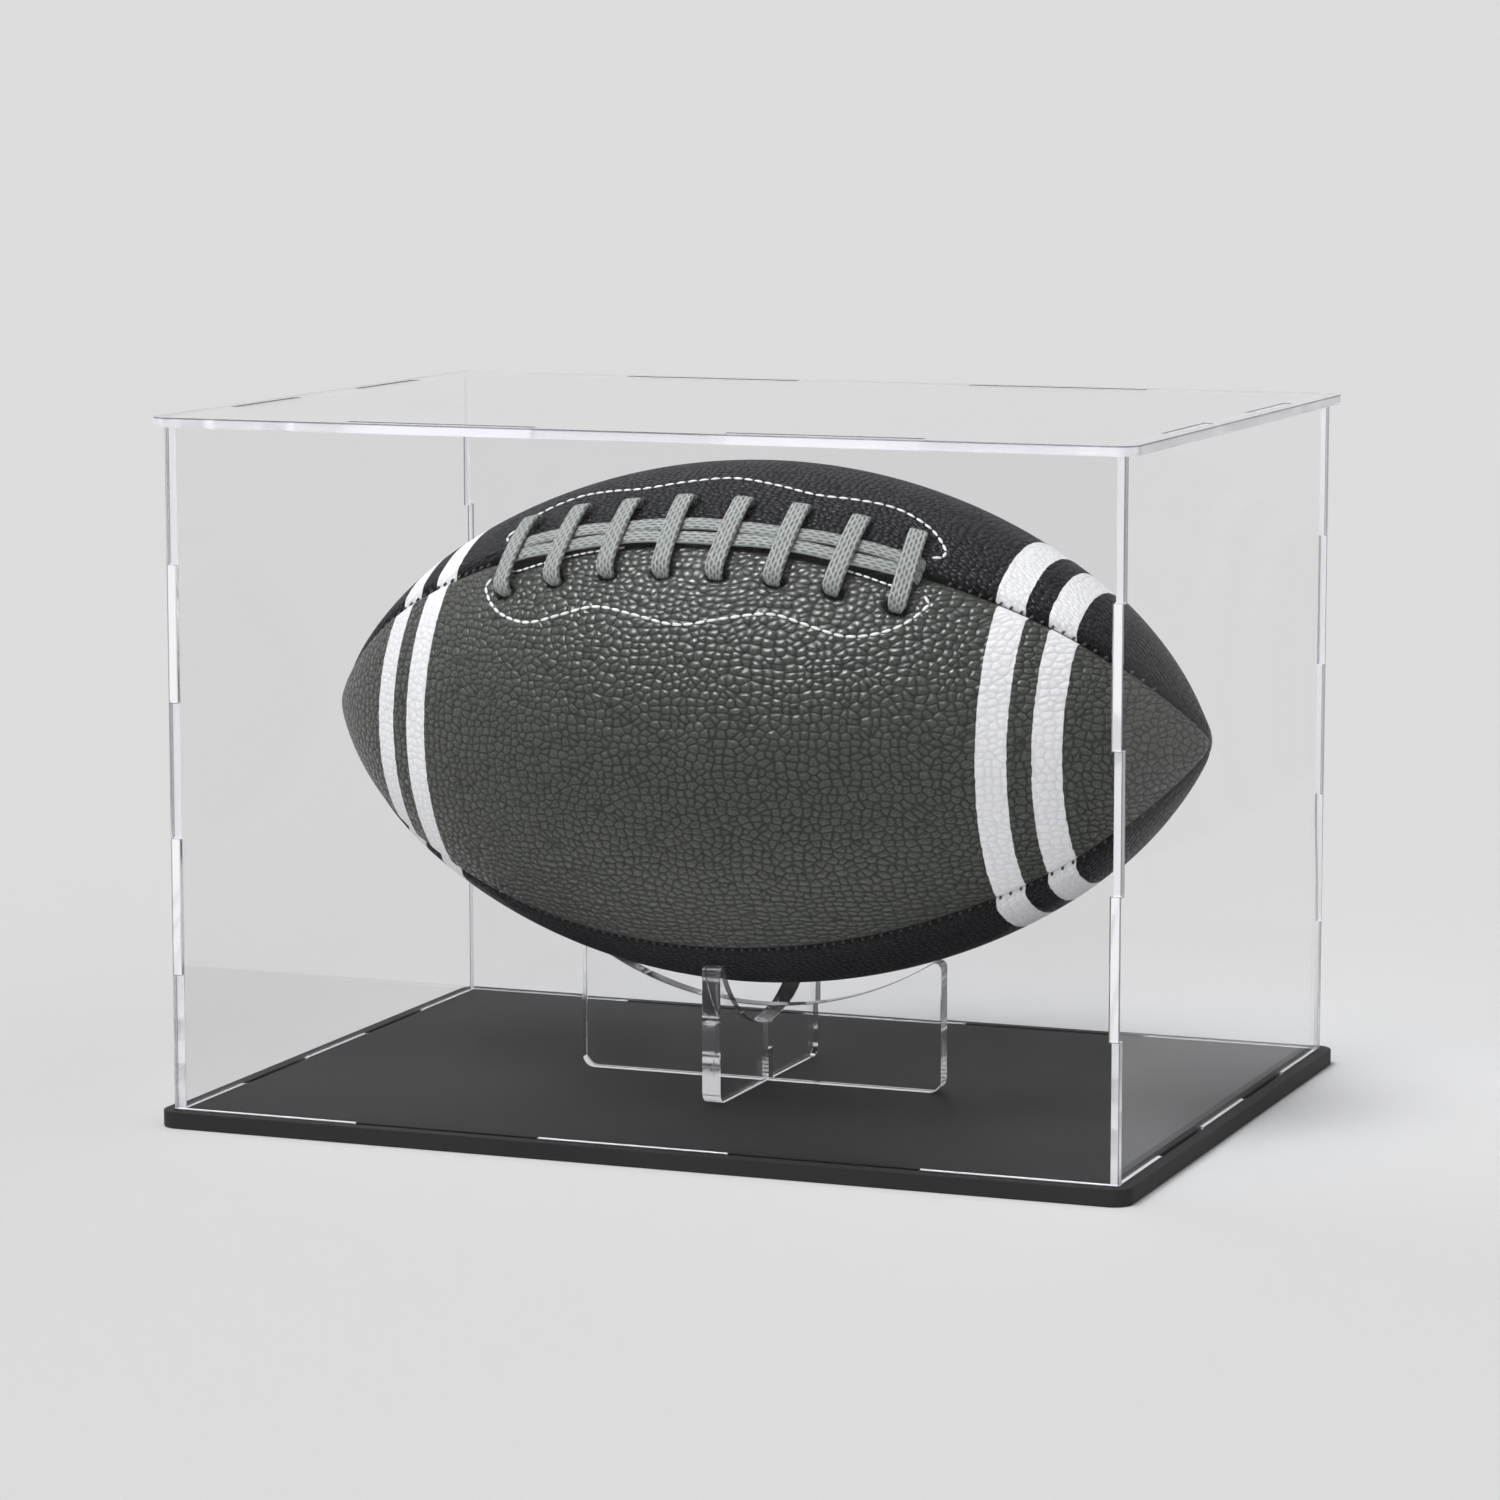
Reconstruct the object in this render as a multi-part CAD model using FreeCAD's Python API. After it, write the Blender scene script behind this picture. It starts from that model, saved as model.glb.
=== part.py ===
import FreeCAD, Part
import os
from math import asin, cos, hypot, pi, radians, sin, sqrt

V = FreeCAD.Vector
X_AXIS = V(1, 0, 0)

# Case, in millimetres: four clear walls and a clear lid on a black base plate
case_w = 300.0        # over the walls, left to right
case_d = 220.0        # over the walls, front to back
wall_h = 208.0        # height of a wall between its tabs
wall_t = 3.0
lid_t = 3.0
base_t = 5.0
overhang = 4.0        # base and lid stand out past the walls
corner_r = 6.0
segments = 5          # each edge is divided into five, and segments two and four carry tabs
finger_play = 0.1     # between the fingers of two walls
slot_play = 0.15      # round a tab in its slot
seat_gap = 0.05       # air under a seated edge
base_tab = 4.5
lid_tab = 2.8
edge_break = 0.2      # small chamfer on every cut edge

# Stand: two clear plates halved into each other
stand_t = 6.0
horn_r = 2.0
foot_r = 4.0
lap_z = 15.0          # height at which the two slots meet
lap_play = 0.1
long_half = 60.0
long_dip_z = 29.0     # lowest point of the long plate's hollow
cross_half = 44.0
cross_dip_z = 24.0
ball_gap = 0.3        # ball to horn

# Football
ball_len = 286.0
ball_dia = 162.0
ball_z = 118.0        # height of the ball's long axis
belly_r = 183.0       # profile arc over the middle of the ball
shoulder_x = 100.0    # where the belly arc hands over to the shoulder arc
tip_r = 14.0
seam_gap = 0.3
lace_seam = 51.0      # elevation of the laced seam on the front side, degrees
wide_panel = 104.0    # degrees round the ball of the front and back panels
cover_t = 2.5
lining_t = 1.0
facing_t = 0.8
bladder_t = 0.8
layer_gap = 0.1

# Lacing
loop_count = 8
loop_pitch = 18.0
loop_w = 6.0
loop_t = 1.4
loop_rise = 1.9       # underside of a loop above the cover
loop_bend = 1.0       # inner radius where a loop turns down into its hole
loop_reach = 15.5     # seam to the middle of a lace hole
loop_depth = 3.0      # how far a loop's legs go in
hole_play = 0.3
strand_w = 5.0
strand_t = 1.3
strand_half = 67.0
facing_half = 75.0
facing_w = 30.0

# Valve in the back panel
valve_r = 3.0
valve_head_r = 6.5
valve_play = 0.2

# Heights and arcs that follow from the dimensions
floor_z = base_t + seat_gap
wall_top = floor_z + wall_h
lid_z = wall_top + seat_gap
belly_drop = belly_r - ball_dia / 2
tip_x = ball_len / 2 - tip_r
belly_end = asin(shoulder_x / belly_r)
shoulder_y = belly_r * cos(belly_end) - belly_drop
reach_x = shoulder_x - tip_x
lean = reach_x * sin(belly_end) + shoulder_y * cos(belly_end)
shoulder_r = (reach_x ** 2 + shoulder_y ** 2 - tip_r ** 2) / (2 * (lean - tip_r))
shoulder_cx = shoulder_x - shoulder_r * sin(belly_end)
shoulder_cy = shoulder_y - shoulder_r * cos(belly_end)


def prism(points, push):
    """A flat plate from its corner points, pushed out by a vector."""
    return Part.Face(Part.makePolygon(points + [points[0]])).extrude(push)


def break_edges(plate, push):
    """Chamfer every edge that lies in one of the plate's two large faces."""
    side = FreeCAD.Vector(push).normalize()
    edges = []
    for edge in plate.Edges:
        ends = edge.valueAt(edge.LastParameter) - edge.valueAt(edge.FirstParameter)
        if abs(ends.dot(side)) < 1e-6:
            edges.append(edge)
    return plate.makeChamfer(edge_break, edges)


def tab_spans(length):
    """Where the two tabs of an edge begin and end."""
    pitch = length / segments
    return [(-length / 2 + k * pitch, -length / 2 + (k + 1) * pitch) for k in (1, 3)]


def tab_edge(length, z, height):
    """The stepped line of one tabbed edge, from left to right."""
    line = []
    for start, stop in tab_spans(length):
        line += [(start, z), (start, z + height), (stop, z + height), (stop, z)]
    return line


def finger_edge(length, runs_through):
    """The stepped line up the right-hand end of a wall."""
    line = []
    step = wall_h / segments
    for k in range(segments):
        owned = (k % 2 == 0) == runs_through
        s = length / 2 if owned else length / 2 - wall_t - finger_play
        trim = finger_play / 2 if owned else -finger_play / 2
        low = floor_z + k * step + (trim if k else 0)
        high = floor_z + (k + 1) * step - (trim if k < segments - 1 else 0)
        line += [(s, low), (s, high)]
    return line


def wall_outline(length, runs_through):
    """Outline of a wall: tabs down, fingers up the ends, tabs up."""
    right = finger_edge(length, runs_through)
    left = [(-s, z) for s, z in reversed(right)]
    bottom = tab_edge(length, floor_z, -base_tab)
    top = tab_edge(length, wall_top, lid_tab)
    return bottom + right + top[::-1] + left


def long_wall(y):
    """Front or back wall, whose ends run through at the top, middle and bottom."""
    push = V(0, wall_t, 0)
    points = [V(s, y, z) for s, z in wall_outline(case_w, True)]
    return break_edges(prism(points, push), push)


def side_wall(x):
    """Left or right wall, whose fingers come through at segments two and four."""
    push = V(wall_t, 0, 0)
    points = [V(x, s, z) for s, z in wall_outline(case_d, False)]
    return break_edges(prism(points, push), push)


def slotted_plate(z, thickness):
    """Base or lid: a rounded plate with a through slot for every tab."""
    w = case_w + 2 * overhang
    d = case_d + 2 * overhang
    plate = Part.makeBox(w, d, thickness, V(-w / 2, -d / 2, z))
    plate = plate.makeFillet(corner_r, [e for e in plate.Edges if abs(e.tangentAt(0).z) > 0.9])
    plate = break_edges(plate, V(0, 0, thickness))
    wide = wall_t + 2 * slot_play
    for start, stop in tab_spans(case_w):
        long = stop - start + 2 * slot_play
        for y in (-case_d / 2, case_d / 2 - wall_t):
            slot = Part.makeBox(long, wide, thickness + 2, V(start - slot_play, y - slot_play, z - 1))
            plate = plate.cut(slot)
    for start, stop in tab_spans(case_d):
        long = stop - start + 2 * slot_play
        for x in (-case_w / 2, case_w / 2 - wall_t):
            slot = Part.makeBox(wide, long, thickness + 2, V(x - slot_play, start - slot_play, z - 1))
            plate = plate.cut(slot)
    return plate


def cradle_plate(half, dip_z, horn_z, across):
    """A stand plate with two round horns and a hollow top edge, thickness centred on the origin."""
    horn_s = half - horn_r
    q = dip_z - horn_z
    hollow_r = (horn_s ** 2 + q ** 2 - horn_r ** 2) / (2 * (horn_r - q))
    hollow_z = dip_z + hollow_r
    away_s = horn_s / (hollow_r + horn_r)
    away_z = (hollow_z - horn_z) / (hollow_r + horn_r)
    along = V(1, 0, 0) if across.y else V(0, 1, 0)

    def at(s, z):
        return along * s + V(0, 0, z) - across * (stand_t / 2)

    touch_s = hollow_r * away_s
    touch_z = hollow_z - hollow_r * away_z
    bend = sqrt(0.5)
    horn_mid_s = horn_s + horn_r * bend
    horn_mid_z = horn_z + horn_r * bend
    foot_mid = foot_r * (1 - bend)
    edges = [
        Part.Arc(at(-touch_s, touch_z), at(0, dip_z), at(touch_s, touch_z)).toShape(),
        Part.Arc(at(touch_s, touch_z), at(horn_mid_s, horn_mid_z), at(half, horn_z)).toShape(),
        Part.makeLine(at(half, horn_z), at(half, floor_z + foot_r)),
        Part.Arc(at(half, floor_z + foot_r), at(half - foot_mid, floor_z + foot_mid),
                 at(half - foot_r, floor_z)).toShape(),
        Part.makeLine(at(half - foot_r, floor_z), at(foot_r - half, floor_z)),
        Part.Arc(at(foot_r - half, floor_z), at(foot_mid - half, floor_z + foot_mid),
                 at(-half, floor_z + foot_r)).toShape(),
        Part.makeLine(at(-half, floor_z + foot_r), at(-half, horn_z)),
        Part.Arc(at(-half, horn_z), at(-horn_mid_s, horn_mid_z), at(-touch_s, touch_z)).toShape(),
    ]
    push = across * stand_t
    plate = Part.Face(Part.Wire(edges)).extrude(push)
    return break_edges(plate, push)


def lap_slot(low, high):
    """The square slot where one stand plate passes through the other."""
    wide = stand_t + 2 * lap_play
    return Part.makeBox(wide, wide, high - low, V(-wide / 2, -wide / 2, low))


def stand_long_plate():
    """Plate along the case, slotted from below, with its horns under the belly arc."""
    centre_z = ball_z + belly_drop
    horn_z = centre_z - sqrt((belly_r + ball_gap + horn_r) ** 2 - (long_half - horn_r) ** 2)
    plate = cradle_plate(long_half, long_dip_z, horn_z, V(0, 1, 0))
    return plate.cut(lap_slot(0, lap_z + lap_play))


def stand_cross_plate():
    """Plate across the case, slotted from above, with its horns under the ball's girth."""
    touch = ball_dia / 2 + ball_gap + horn_r
    horn_z = ball_z - sqrt(touch ** 2 - (cross_half - horn_r) ** 2)
    plate = cradle_plate(cross_half, cross_dip_z, horn_z, V(1, 0, 0))
    return plate.cut(lap_slot(lap_z - lap_play, ball_z))


def half_lens(inset):
    """Half of the ball's long section in the upper XZ plane, inset from the outer surface."""
    end_x = tip_x + tip_r - inset
    tip_u = V(tip_x - shoulder_cx, 0, -shoulder_cy).normalize()
    tip_join = V(shoulder_cx, 0, shoulder_cy) + tip_u * (shoulder_r - inset)
    tip_mid = V(tip_x, 0, 0) + (tip_u + V(1, 0, 0)).normalize() * (tip_r - inset)
    belly_u = V(sin(belly_end), 0, cos(belly_end))
    belly_join = V(0, 0, -belly_drop) + belly_u * (belly_r - inset)
    shoulder_mid = V(shoulder_cx, 0, shoulder_cy) + (tip_u + belly_u).normalize() * (shoulder_r - inset)
    top = V(0, 0, ball_dia / 2 - inset)

    def flip(p):
        return V(-p.x, p.y, p.z)

    right_tip = V(end_x, 0, 0)
    edges = [
        Part.makeLine(flip(right_tip), right_tip),
        Part.Arc(right_tip, tip_mid, tip_join).toShape(),
        Part.Arc(tip_join, shoulder_mid, belly_join).toShape(),
        Part.Arc(belly_join, top, flip(belly_join)).toShape(),
        Part.Arc(flip(belly_join), flip(shoulder_mid), flip(tip_join)).toShape(),
        Part.Arc(flip(tip_join), flip(tip_mid), flip(right_tip)).toShape(),
    ]
    return Part.Face(Part.Wire(edges))


def ball_place(shape):
    """Move a shape from the ball's own centre to its place in the case."""
    return shape.translated(V(0, 0, ball_z))


def wedge(inset, high_elevation, sweep):
    """Solid part of the ball from one elevation downwards by a sweep, front side first."""
    face = half_lens(inset)
    face.rotate(V(0, 0, 0), X_AXIS, 90 - high_elevation)
    return face.revolve(V(0, 0, 0), X_AXIS, sweep)


def quarter_shell(outer, thickness, high_elevation, sweep):
    """One of the four parts of a layer of the ball, its edges held back from the two seams."""
    shell = wedge(outer, high_elevation, sweep).cut(wedge(outer + thickness, high_elevation, sweep))
    reach = ball_len
    for elevation in (high_elevation, high_elevation - sweep):
        slab = Part.makeBox(2 * reach, seam_gap, reach, V(-reach, -seam_gap / 2, 0))
        slab.rotate(V(0, 0, 0), X_AXIS, 90 - elevation)
        shell = shell.cut(slab)
    return shell


def lace_frame(x):
    """Placement on the laced seam: local x along it, y up the ball, z outwards; and the bend radius."""
    y = sqrt(belly_r ** 2 - x ** 2) - belly_drop
    tilt = asin(x / belly_r)
    e = radians(lace_seam)
    up = V(0, -cos(e), sin(e))
    across = V(0, sin(e), cos(e))
    out = V(sin(tilt), 0, 0) + up * cos(tilt)
    along = V(cos(tilt), 0, 0) - up * sin(tilt)
    origin = V(x, 0, 0) + up * y
    matrix = FreeCAD.Matrix(along.x, across.x, out.x, origin.x,
                            along.y, across.y, out.y, origin.y,
                            along.z, across.z, out.z, origin.z,
                            0, 0, 0, 1)
    return FreeCAD.Placement(matrix), y / cos(tilt)


def loop_axes(bend_r, side):
    """Centre, outward and sideways directions of a loop's turn on one side of the seam."""
    phi = (loop_reach - loop_bend - loop_t / 2) / bend_r
    out = V(0, side * sin(phi), cos(phi))
    away = V(0, side * cos(phi), -sin(phi))
    centre = out * (bend_r + loop_rise - loop_bend) - V(0, 0, bend_r)
    return centre, out, away


def lace_loop(x):
    """One flat loop over the strands, its two legs turned down into the lace holes."""
    place, bend_r = lace_frame(x)
    inner = loop_bend
    outer = loop_bend + loop_t
    leg = loop_rise - loop_bend + loop_depth
    mid = sqrt(0.5)
    c, o, a = loop_axes(bend_r, 1)
    d, p, b = loop_axes(bend_r, -1)
    edges = [
        Part.Arc(d + p * outer, V(0, 0, loop_rise + loop_t), c + o * outer).toShape(),
        Part.Arc(c + o * outer, c + (o + a) * (outer * mid), c + a * outer).toShape(),
        Part.makeLine(c + a * outer, c + a * outer - o * leg),
        Part.makeLine(c + a * outer - o * leg, c + a * inner - o * leg),
        Part.makeLine(c + a * inner - o * leg, c + a * inner),
        Part.Arc(c + a * inner, c + (o + a) * (inner * mid), c + o * inner).toShape(),
        Part.Arc(c + o * inner, V(0, 0, loop_rise), d + p * inner).toShape(),
        Part.Arc(d + p * inner, d + (p + b) * (inner * mid), d + b * inner).toShape(),
        Part.makeLine(d + b * inner, d + b * inner - p * leg),
        Part.makeLine(d + b * inner - p * leg, d + b * outer - p * leg),
        Part.makeLine(d + b * outer - p * leg, d + b * outer),
        Part.Arc(d + b * outer, d + (p + b) * (outer * mid), d + p * outer).toShape(),
    ]
    loop = Part.Face(Part.Wire(edges)).extrude(V(loop_w, 0, 0))
    loop.translate(V(-loop_w / 2, 0, 0))
    loop.Placement = place.multiply(loop.Placement)
    return loop


def loop_positions():
    """Where the loops cross the seam."""
    return [(k - (loop_count - 1) / 2) * loop_pitch for k in range(loop_count)]


def lace_hole(x, side):
    """The slit that one leg of a loop goes through."""
    place, bend_r = lace_frame(x)
    centre, out, away = loop_axes(bend_r, side)
    middle = centre + away * (loop_bend + loop_t / 2)
    wide = loop_t + 2 * hole_play
    long = loop_w + 2 * hole_play
    corners = [middle + away * (wide / 2) + V(-long / 2, 0, 0),
               middle - away * (wide / 2) + V(-long / 2, 0, 0),
               middle - away * (wide / 2) + V(long / 2, 0, 0),
               middle + away * (wide / 2) + V(long / 2, 0, 0)]
    hole = prism([p + out * 4 for p in corners], out * -14)
    hole.Placement = place.multiply(hole.Placement)
    return hole


def punch(layer, side):
    """Cut the row of lace holes through one layer."""
    for x in loop_positions():
        layer = layer.cut(lace_hole(x, side))
    return layer


def lace_strand(side):
    """A flat strand that runs along the seam under all the loops."""
    low = belly_r + layer_gap + 0.2
    high = low + strand_t
    e = asin(strand_half / belly_r)
    centre = V(0, 0, -belly_drop)

    def at(radius, angle):
        return centre + V(sin(angle), 0, cos(angle)) * radius

    edges = [
        Part.Arc(at(low, -e), at(low, 0), at(low, e)).toShape(),
        Part.makeLine(at(low, e), at(high, e)),
        Part.Arc(at(high, e), at(high, 0), at(high, -e)).toShape(),
        Part.makeLine(at(high, -e), at(low, -e)),
    ]
    strand = Part.Face(Part.Wire(edges)).extrude(V(0, side * strand_w, 0))
    strand.translate(V(0, side * layer_gap, 0))
    strand.rotate(V(0, 0, 0), X_AXIS, 90 - lace_seam)
    return strand


def lace_facing(side):
    """The strip sewn behind the cover to carry one row of lace holes."""
    outer = cover_t + lining_t + 2 * layer_gap
    sweep = facing_w / (ball_dia / 2) * 180 / pi
    high = lace_seam + sweep if side > 0 else lace_seam
    strip = wedge(outer, high, sweep).cut(wedge(outer + facing_t, high, sweep))
    band = Part.makeBox(2 * facing_half, ball_dia, ball_dia, V(-facing_half, -ball_dia / 2, -ball_dia / 2))
    slab = Part.makeBox(ball_len, seam_gap, ball_dia, V(-ball_len / 2, -seam_gap / 2, 0))
    slab.rotate(V(0, 0, 0), X_AXIS, 90 - lace_seam)
    return punch(strip.common(band).cut(slab), side)


def valve_post(radius, start, stop):
    """A round post through the middle of the back panel, between two insets."""
    e = radians(lace_seam - 180 - wide_panel / 2)
    out = V(0, -cos(e), sin(e))
    return Part.makeCylinder(radius, stop - start, out * (ball_dia / 2 - stop), out)


def ball_valve():
    """Rubber valve: a stem through the cover and a head inside the bladder."""
    inner = cover_t + lining_t + facing_t + bladder_t + 4 * layer_gap
    stem = valve_post(valve_r, 0.6, inner + 2.5)
    head = valve_post(valve_head_r, inner + 0.6, inner + 2.5)
    return stem.fuse(head).removeSplitter()


def ball_bladder():
    """Thin rubber bladder with a hole for the valve."""
    outer = cover_t + lining_t + facing_t + 3 * layer_gap
    skin = wedge(outer, 90, 360).cut(wedge(outer + bladder_t, 90, 360))
    return skin.cut(valve_post(valve_r + valve_play, 0, outer + bladder_t + 1))


def ball_layer(outer, thickness, elevation, sweep, lace_side, has_valve):
    """One panel of the cover or of the lining, with the openings it needs."""
    layer = quarter_shell(outer, thickness, elevation, sweep)
    if lace_side:
        layer = punch(layer, lace_side)
    if has_valve:
        layer = layer.cut(valve_post(valve_r + valve_play, -1, outer + thickness + 1))
    return layer


parts = {
    "base_plate": slotted_plate(0, base_t),
    "front_wall": long_wall(-case_d / 2),
    "back_wall": long_wall(case_d / 2 - wall_t),
    "left_wall": side_wall(-case_w / 2),
    "right_wall": side_wall(case_w / 2 - wall_t),
    "lid_plate": slotted_plate(lid_z, lid_t),
    "stand_long_plate": stand_long_plate(),
    "stand_cross_plate": stand_cross_plate(),
    "ball_bladder": ball_place(ball_bladder()),
    "ball_valve": ball_place(ball_valve()),
    "lace_loops": ball_place(Part.makeCompound([lace_loop(x) for x in loop_positions()])),
    "lace_strand_upper": ball_place(lace_strand(1)),
    "lace_strand_lower": ball_place(lace_strand(-1)),
    "lace_facing_upper": ball_place(lace_facing(1)),
    "lace_facing_lower": ball_place(lace_facing(-1)),
}
narrow_panel = 180 - wide_panel
quarters = [("front", lace_seam, wide_panel, -1, False),
            ("bottom", lace_seam - wide_panel, narrow_panel, 0, False),
            ("back", lace_seam - 180, wide_panel, 0, True),
            ("top", lace_seam + narrow_panel, narrow_panel, 1, False)]
for side, elevation, sweep, lace_side, has_valve in quarters:
    cover = ball_layer(0, cover_t, elevation, sweep, lace_side, has_valve)
    lining = ball_layer(cover_t + layer_gap, lining_t, elevation, sweep, lace_side, has_valve)
    parts["ball_%s_panel" % side] = ball_place(cover)
    parts["ball_%s_lining" % side] = ball_place(lining)

os.makedirs("parts", exist_ok=True)
for name, shape in parts.items():
    shape.exportStep("parts/%s.step" % name)
    print(name, len(shape.Solids), shape.isValid(), round(shape.Volume, 1))
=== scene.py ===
# %% [markdown]
# The case as it was built
# The display case comes in as a fixed frame: a black base, four clear walls, a clear lid, a stand
# of two crossed plates and a laced football. Everything below dresses that frame. The flat sheets
# keep their own meshes, because a cut sheet is already the right shape, and the ball gets new
# meshes, because leather needs soft seams.

# %% The frame
import random
from math import asin, atan2, copysign, cos, hypot, pi, radians, sin, sqrt

import bmesh
import bpy
from mathutils import Matrix, Vector


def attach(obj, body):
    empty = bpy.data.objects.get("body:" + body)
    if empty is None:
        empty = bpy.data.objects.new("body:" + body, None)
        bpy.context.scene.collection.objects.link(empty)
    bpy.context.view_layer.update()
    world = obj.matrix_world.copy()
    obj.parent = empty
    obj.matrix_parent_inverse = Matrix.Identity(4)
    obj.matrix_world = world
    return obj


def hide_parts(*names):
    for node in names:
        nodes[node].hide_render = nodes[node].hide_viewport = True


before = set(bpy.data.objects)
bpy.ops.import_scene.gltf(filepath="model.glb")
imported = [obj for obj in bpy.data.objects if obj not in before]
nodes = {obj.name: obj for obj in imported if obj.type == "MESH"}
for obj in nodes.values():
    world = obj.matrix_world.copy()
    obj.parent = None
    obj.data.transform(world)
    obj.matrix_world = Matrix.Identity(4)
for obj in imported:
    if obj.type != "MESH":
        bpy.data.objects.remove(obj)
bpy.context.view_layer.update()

# %% [markdown]
# The camera
# The photograph looks at the front of the case from a little to the right and a little above,
# through a long lens, so that the uprights stay upright. A long lens from far away is made here
# by a small field of view and a large distance.

# %% The camera
view_turn, view_rise, view_far = radians(21.16), radians(7.87), 1.628
look_at = Vector((-0.0047, 0.0, 0.1085))
back = Vector((sin(view_turn) * cos(view_rise), -cos(view_turn) * cos(view_rise), sin(view_rise)))
camera = bpy.data.objects.new("camera", bpy.data.cameras.new("camera"))
camera.data.sensor_width = 36
camera.data.lens = 125.5
camera.location = look_at + back * view_far
camera.rotation_euler = (-back).to_track_quat("-Z", "Y").to_euler()
bpy.context.scene.collection.objects.link(camera)
bpy.context.scene.camera = camera
print("camera at", [round(v, 3) for v in camera.location])

# %% [markdown]
# Helpers for materials
# A material is a small tree of nodes. Writing each node and its links on one line keeps the tree
# readable, so one helper adds a node, sets its options and either links or fills each of its
# inputs. The others name the few kinds of node that come up again and again.

# %% Helpers for materials
def add(tree, kind, inputs=None, **options):
    """Add a shader node, set its options, and link or fill its inputs."""
    made = tree.nodes.new("ShaderNode" + kind)
    for key, value in options.items():
        setattr(made, key, value)
    for key, value in (inputs or {}).items():
        if isinstance(value, bpy.types.NodeSocket):
            tree.links.new(value, made.inputs[key])
        else:
            made.inputs[key].default_value = value
    return made


def new_finish(name, **sockets):
    """A material with its shader's own sockets set by name, spaces written as underscores."""
    finish = bpy.data.materials.new(name)
    finish.use_nodes = True
    shader = finish.node_tree.nodes["Principled BSDF"]
    for key, value in sockets.items():
        shader.inputs[key.replace("_", " ")].default_value = value
    return finish, finish.node_tree, shader


def maths(tree, operation, *values):
    """A Math node on numbers or sockets."""
    return add(tree, "Math", dict(enumerate(values)), operation=operation).outputs[0]


def blend(tree, factor, low, high):
    """A colour between two colours."""
    return add(tree, "Mix", {0: factor, 6: low, 7: high}, data_type="RGBA").outputs[2]


def ramp(tree, value, low, high, out_low=0.0, out_high=1.0):
    """A smooth step from one number to another."""
    names = ("Value", "From Min", "From Max", "To Min", "To Max")
    made = add(tree, "MapRange", dict(zip(names, (value, low, high, out_low, out_high))),
               interpolation_type="SMOOTHSTEP")
    return made.outputs[0]


def noise(tree, place, scale, detail, output=0):
    """A cloudy pattern; a larger scale makes smaller clouds."""
    made = add(tree, "TexNoise", {"Vector": place, "Scale": scale, "Detail": detail})
    return made.outputs[output]


def bump(tree, shader, height, strength, distance):
    """Let a pattern raise the surface."""
    made = add(tree, "Bump", {"Strength": strength, "Distance": distance, "Height": height})
    tree.links.new(made.outputs[0], shader.inputs["Normal"])


def dress(names, finish):
    """Put one finish on carried-over pieces."""
    for name in names:
        nodes[name].data.materials.clear()
        nodes[name].data.materials.append(finish)
    print(finish.name, "on", ", ".join(names))

# %% [markdown]
# The surround
# A product studio is mostly white. The surround shows the same pale grey to the camera and to rays
# that come through the clear sheet or off it, and only matt surfaces are lit by its plain white.
# Clear sheet behind clear sheet needs many bounces, or the last ones turn black.

# %% The surround
scene = bpy.context.scene
scene.view_settings.view_transform = "Standard"
scene.cycles.max_bounces = 48
scene.cycles.glossy_bounces = 48
scene.cycles.transmission_bounces = 48
scene.cycles.transparent_max_bounces = 48

surround = bpy.data.worlds.new("surround")
surround.use_nodes = True
scene.world = surround
tree = surround.node_tree
tree.nodes.clear()
rays = add(tree, "LightPath").outputs
seen = maths(tree, "LESS_THAN", rays["Diffuse Depth"], 0.5)
lit = add(tree, "Background", {"Color": (1.0, 1.0, 1.0, 1), "Strength": 0.45})
shown = add(tree, "Background", {"Color": (0.716, 0.716, 0.716, 1), "Strength": 1.0})
mixed = add(tree, "MixShader", {0: seen, 1: lit.outputs[0], 2: shown.outputs[0]})
add(tree, "OutputWorld", {"Surface": mixed.outputs[0]})
print("surround ready")

# %% [markdown]
# The lamps
# One broad lamp shines from above, and a second one from low in front, as a white table throws
# light back. Both are suns with a very wide angle, so their shadows are soft. Dark leather shows
# its pebbles only by what they mirror, so two more lamps light the ball alone: a strip under its
# front, and a sun that is seen as sheen and nowhere else. Light linking names the pieces that a
# lamp may reach, and each piece of the ball joins that collection as it is made.

# %% The lamps
def lamp(name, kind, toward, energy, **options):
    """A lamp that points along a direction."""
    made = bpy.data.objects.new(name, bpy.data.lights.new(name, kind))
    made.data.energy = energy
    for key, value in options.items():
        setattr(made.data, key, value)
    made.rotation_euler = Vector(toward).to_track_quat("-Z", "Y").to_euler()
    scene.collection.objects.link(made)
    return made


lamp("key_lamp", "SUN", (0.26, 0.36, -1.0), 1.90, angle=radians(32))
front_lamp = lamp("front_lamp", "SUN", (0.0, 0.80, 0.60), 1.65, angle=radians(50))
front_lamp.visible_glossy = False
front_lamp.visible_transmission = False

ball_pieces = bpy.data.collections.new("ball_pieces")
low_lamp = lamp("low_lamp", "AREA", (0.0, 0.0, 1.0), 0.055,
                shape="RECTANGLE", size=0.26, size_y=0.074)
low_lamp.location = (0.0, -0.074, 0.0075)
low_lamp.visible_camera = False
sheen_lamp = lamp("sheen_lamp", "SUN", (0.20, 0.18, -1.0), 4.5, angle=radians(22))
sheen_lamp.visible_diffuse = False
for made in (low_lamp, sheen_lamp):
    made.visible_transmission = False
    made.light_linking.receiver_collection = ball_pieces
print("four lamps")

# %% [markdown]
# The floor
# The floor is one large pale sheet, a hair under the base so that the two don't flicker. It casts
# no shadow itself, which lets the low front lamp shine up past it.

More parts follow.
